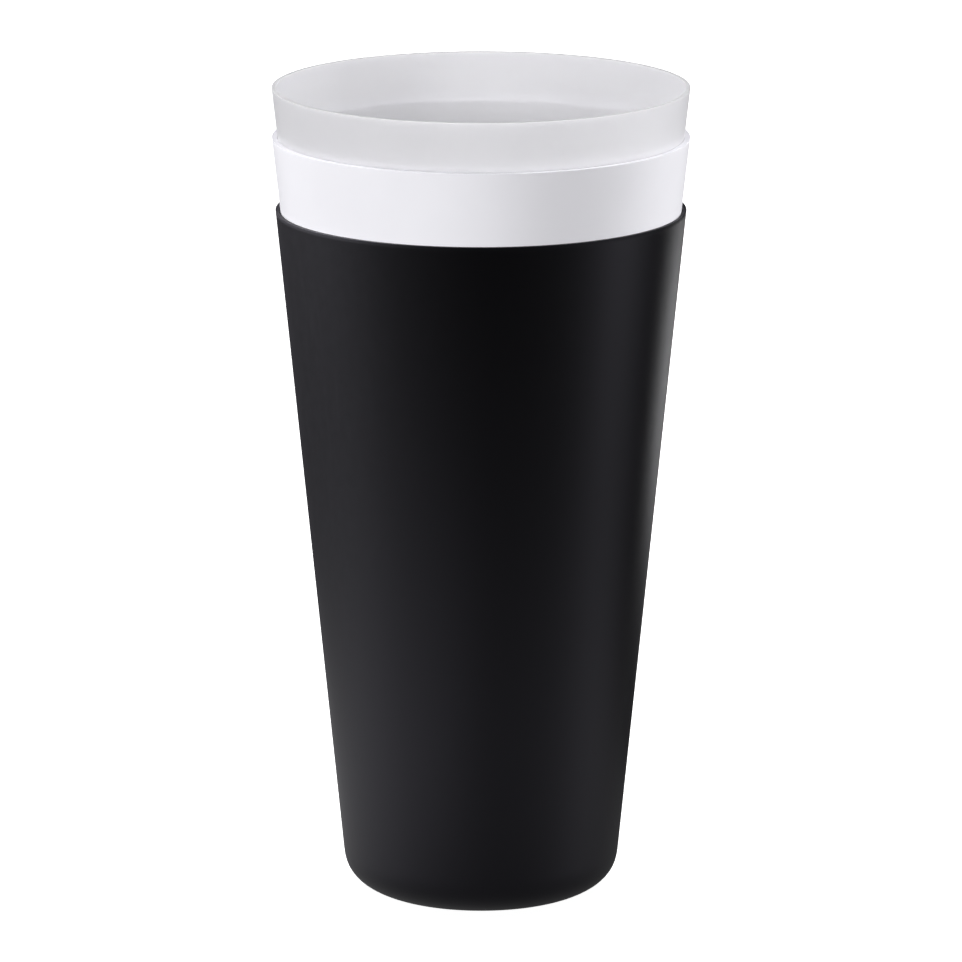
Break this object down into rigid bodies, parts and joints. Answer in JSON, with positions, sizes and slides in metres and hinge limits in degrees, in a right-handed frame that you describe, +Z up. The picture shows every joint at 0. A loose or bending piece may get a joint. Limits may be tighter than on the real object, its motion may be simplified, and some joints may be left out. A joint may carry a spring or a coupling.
{
  "type": "nesting tumbler set",
  "caption": "Tapered open drinking tumblers with thin walls, rounded bases and foot rings, nested so that each rim stands above the one outside it.",
  "frame": {"origin": "centre of the foot ring that the outer tumbler stands on, at the level of the table", "axes": "+Z up along the common axis of the tumblers, from foot to rim; +X and +Y are any two square directions across it"},
  "size_m": [0.085, 0.085, 0.168],
  "materials": {
    "black_plastic": "satin, very fine moulded texture",
    "white_plastic": "semi-gloss",
    "grey_plastic": "matte"
  },
  "bodies": {
    "outer": {"outer_tumbler": "black_plastic"},
    "middle": {"middle_tumbler": "white_plastic"},
    "inner": {"inner_tumbler": "grey_plastic"}
  },
  "joints": [
    {"name": "middle_lift", "type": "slide", "parent": "outer", "child": "middle", "axis": [0, 0, 1], "range_m": [0, 0.155]},
    {"name": "inner_lift", "type": "slide", "parent": "middle", "child": "inner", "axis": [0, 0, 1], "range_m": [0, 0.155]}
  ]
}
